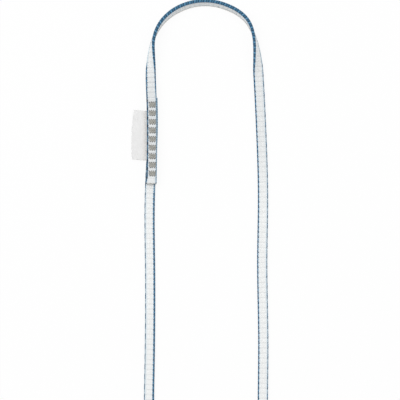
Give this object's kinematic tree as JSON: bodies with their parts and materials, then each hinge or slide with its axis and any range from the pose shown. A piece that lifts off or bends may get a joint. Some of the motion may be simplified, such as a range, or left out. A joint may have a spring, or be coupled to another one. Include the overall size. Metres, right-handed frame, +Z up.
{
  "type": "climbing sling",
  "caption": "Long sewn loop of narrow white webbing with blue edges, a stitched overlap and a folded side label, for linking anchors and connectors.",
  "frame": {"origin": "on the table that the sling lies on, below the centre of its outline, label included", "axes": "+Y along the loop towards the end with the sewn joint, +Z up from the table, +X towards the leg without the joint"},
  "size_m": [0.1055, 0.5272, 0.0081],
  "materials": {
    "white_core": "woven, slightly waxy",
    "blue_yarn": "woven",
    "grey_thread": "bonded thread",
    "white_ribbon": "satin ribbon"
  },
  "bodies": {
    "webbing": {"tape_core": "white_core", "selvedge_near": "blue_yarn", "selvedge_far": "blue_yarn", "label_tab": "white_ribbon", "bar_tack_1_needle_thread": "grey_thread", "bar_tack_2_needle_thread": "grey_thread", "bar_tack_3_needle_thread": "grey_thread", "bar_tack_4_needle_thread": "grey_thread", "bar_tack_5_needle_thread": "grey_thread", "bar_tack_6_needle_thread": "grey_thread", "bar_tack_7_needle_thread": "grey_thread", "bar_tack_8_needle_thread": "grey_thread", "bar_tack_9_needle_thread": "grey_thread", "bar_tack_1_bobbin_thread": "grey_thread", "bar_tack_2_bobbin_thread": "grey_thread", "bar_tack_3_bobbin_thread": "grey_thread", "bar_tack_4_bobbin_thread": "grey_thread", "bar_tack_5_bobbin_thread": "grey_thread", "bar_tack_6_bobbin_thread": "grey_thread", "bar_tack_7_bobbin_thread": "grey_thread", "bar_tack_8_bobbin_thread": "grey_thread", "bar_tack_9_bobbin_thread": "grey_thread"},
    "label": {"label_flap": "white_ribbon"}
  },
  "joints": [
    {"name": "label_hinge", "type": "hinge", "parent": "webbing", "child": "label", "pos_m": [-0.0427, 0.1592, 0.00315], "axis": [0, 1, 0], "range_deg": [0, 115]}
  ]
}
